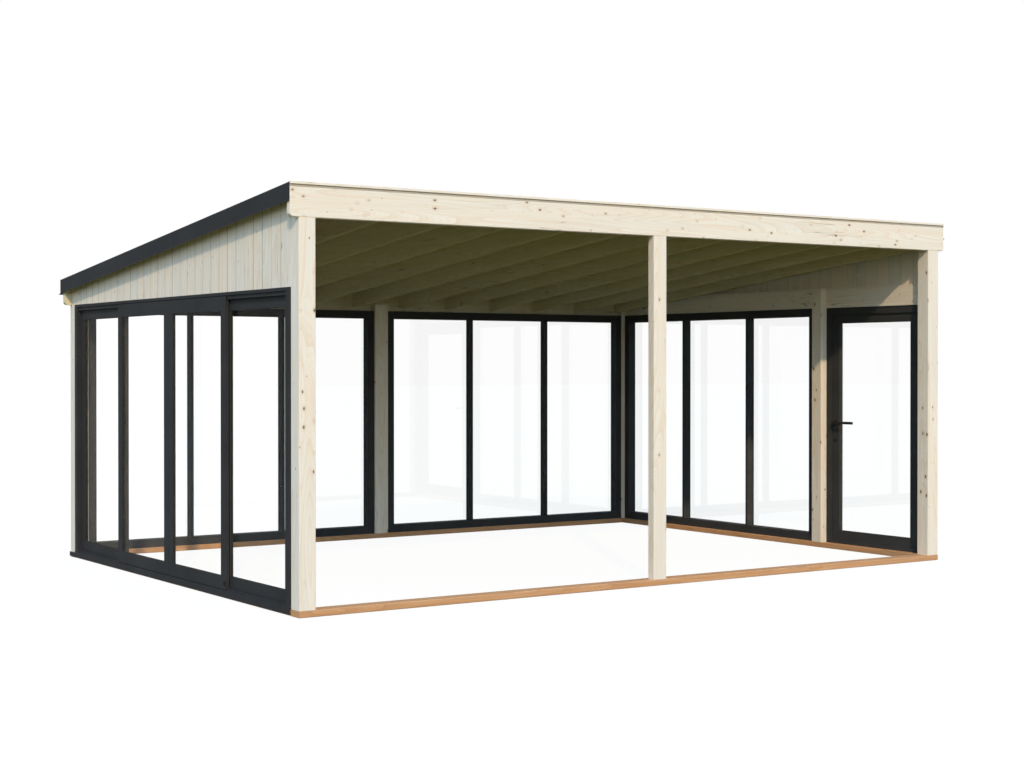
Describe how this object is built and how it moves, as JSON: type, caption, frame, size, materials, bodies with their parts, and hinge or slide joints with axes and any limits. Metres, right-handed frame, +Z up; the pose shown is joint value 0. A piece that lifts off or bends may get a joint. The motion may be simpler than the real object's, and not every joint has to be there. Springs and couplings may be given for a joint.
{
  "type": "open-fronted garden room",
  "caption": "Open-fronted timber garden room with a mono-pitch roof, fixed glazing at the back and right, a sliding glass wall on the left and a hinged glass door.",
  "frame": {"origin": "on the ground, under the middle of the whole object's box", "axes": "+X runs along the open front towards the hinged door's wall, +Y points to the back wall, and +Z is up"},
  "size_m": [6.098, 4.403, 2.8143],
  "materials": {
    "timber": "bare planed softwood",
    "sill_timber": "brown treated softwood",
    "ceiling_timber": "bare softwood boards",
    "roof_edge_sheet": "matt anthracite coating",
    "roof_covering": "matt roofing membrane",
    "frame_metal": "matt anthracite coating",
    "glazing": "clear",
    "door_furniture": "matt black coating"
  },
  "bodies": {
    "structure": {"front_left_post": "timber", "front_right_post": "timber", "back_left_post": "timber", "back_right_post": "timber", "front_middle_post": "timber", "back_middle_post": "timber", "back_middle_stud": "timber", "right_middle_post": "timber", "front_beam": "timber", "back_beam": "timber", "left_header": "timber", "right_header": "timber", "left_gable_boards": "timber", "right_gable_boards": "timber", "gable_trims": "timber", "front_edge_strip": "timber", "verge_boards": "timber", "eaves_board": "timber", "front_sill": "sill_timber", "back_sill": "sill_timber", "left_sill": "sill_timber", "right_sill": "sill_timber", "rafters": "ceiling_timber", "roof_deck": "ceiling_timber", "left_roof_edge": "roof_edge_sheet", "right_roof_edge": "roof_edge_sheet", "eaves_drip": "roof_edge_sheet", "roof_covering": "roof_covering", "back_left_window_frame": "frame_metal", "back_right_window_frame": "frame_metal", "right_window_frame": "frame_metal", "slider_head": "frame_metal", "slider_threshold": "frame_metal", "slider_jambs": "frame_metal", "back_fixed_panel_frame": "frame_metal", "front_fixed_panel_frame": "frame_metal", "door_jambs": "frame_metal", "door_head": "frame_metal", "door_threshold": "frame_metal", "back_left_window_glass": "glazing", "back_right_window_glass": "glazing", "right_window_glass": "glazing", "back_fixed_panel_glass": "glazing", "front_fixed_panel_glass": "glazing", "door_hinge_pins": "door_furniture"},
    "door": {"door_leaf": "frame_metal", "door_glass": "glazing", "door_hinge_knuckles": "door_furniture", "door_roses": "door_furniture"},
    "lever": {"door_lever": "door_furniture"},
    "back_sliding_panel": {"back_sliding_panel_frame": "frame_metal", "back_sliding_panel_glass": "glazing"},
    "front_sliding_panel": {"front_sliding_panel_frame": "frame_metal", "front_sliding_panel_glass": "glazing", "panel_foot_lock": "door_furniture"}
  },
  "joints": [
    {"name": "door_hinge", "type": "hinge", "parent": "structure", "child": "door", "pos_m": [2.98, -2.023, 1.1], "axis": [0, 0, -1], "range_deg": [0, 100]},
    {"name": "lever_turn", "type": "hinge", "parent": "door", "child": "lever", "pos_m": [2.949, -1.0415, 1.114], "axis": [1, 0, 0], "range_deg": [0, 45], "stiffness_Nm_per_rad": 2, "springref_deg": -45.84},
    {"name": "back_panel_slide", "type": "slide", "parent": "structure", "child": "back_sliding_panel", "axis": [0, 1, 0], "range_m": [0, 0.9]},
    {"name": "front_panel_slide", "type": "slide", "parent": "structure", "child": "front_sliding_panel", "axis": [0, -1, 0], "range_m": [0, 0.9]}
  ]
}
